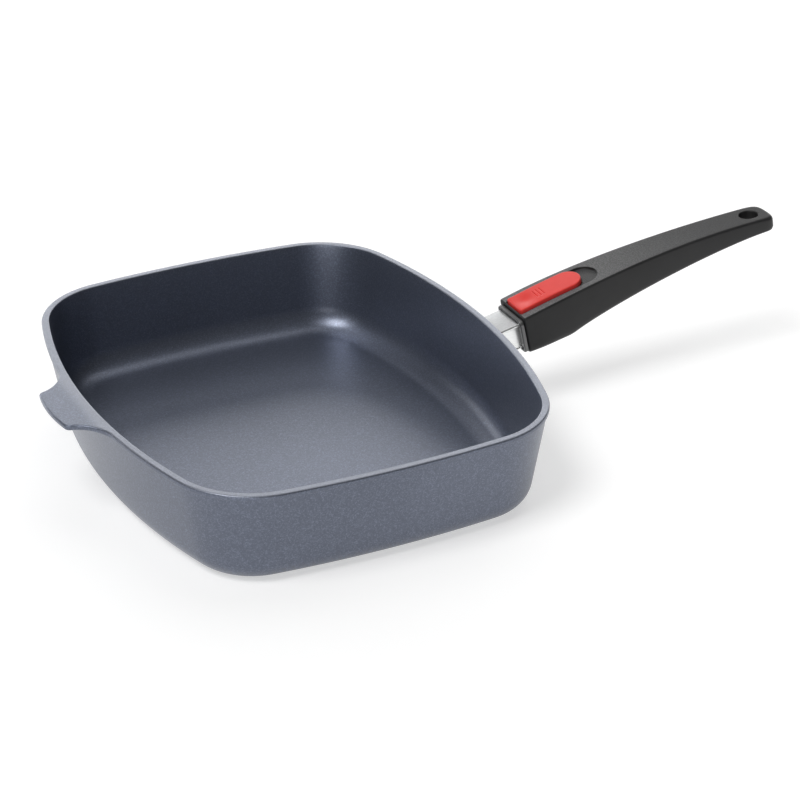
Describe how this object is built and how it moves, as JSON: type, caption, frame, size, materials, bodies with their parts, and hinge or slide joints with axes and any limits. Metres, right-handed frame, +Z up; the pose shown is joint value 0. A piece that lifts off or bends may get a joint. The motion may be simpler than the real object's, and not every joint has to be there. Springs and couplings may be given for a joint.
{
  "type": "rectangular frying pan",
  "caption": "Deep rectangular non-stick frying pan with bowed sides, a helper tab and a moulded handle that latches on a metal stub and pulls off when its slide button is drawn back.",
  "frame": {"origin": "middle of the flat underside of the pan's base", "axes": "+X from the pan towards the handle, +Y across the pan, +Z up"},
  "size_m": [0.5226, 0.324, 0.0983],
  "materials": {
    "nonstick_coating": "cast aluminium under a blue-grey non-stick coating with fine metallic sparkle",
    "bare_cast": "bare, finely brushed",
    "steel": "zinc-plated, satin",
    "bezel_metal": "dark grey die casting, satin",
    "black_moulding": "black moulding with a fine grained top and plain satin sides",
    "red_plastic": "red, satin gloss"
  },
  "bodies": {
    "pan": {"pan_body": "nonstick_coating", "handle_stub": "bare_cast", "stub_screw_left": "steel", "stub_screw_right": "steel", "stub_washer_left": "steel", "stub_washer_right": "steel"},
    "handle": {"handle_shell": "black_moulding", "socket_liner": "bezel_metal", "liner_screw": "steel", "return_spring": "steel", "spring_guide": "steel"},
    "button": {"slide_button": "red_plastic", "slide_carrier": "steel"},
    "lock": {"lock_bolt": "steel", "bolt_pin": "steel"}
  },
  "joints": [
    {"name": "handle_detach", "type": "slide", "parent": "pan", "child": "handle", "axis": [0.9767, 0, 0.2147], "range_m": [0, 0.06]},
    {"name": "button_slide", "type": "slide", "parent": "handle", "child": "button", "axis": [0.9767, 0, 0.2147], "range_m": [0, 0.011], "stiffness_N_per_m": 800, "springref_m": -0.008, "deforming": ["return_spring"]},
    {"name": "bolt_lift", "type": "slide", "parent": "handle", "child": "lock", "axis": [-0.2147, 0, 0.9767], "range_m": [0, 0.004]}
  ],
  "couplings": [
    {"joint": "bolt_lift", "follows": "button_slide", "ratio": 0.36364}
  ]
}
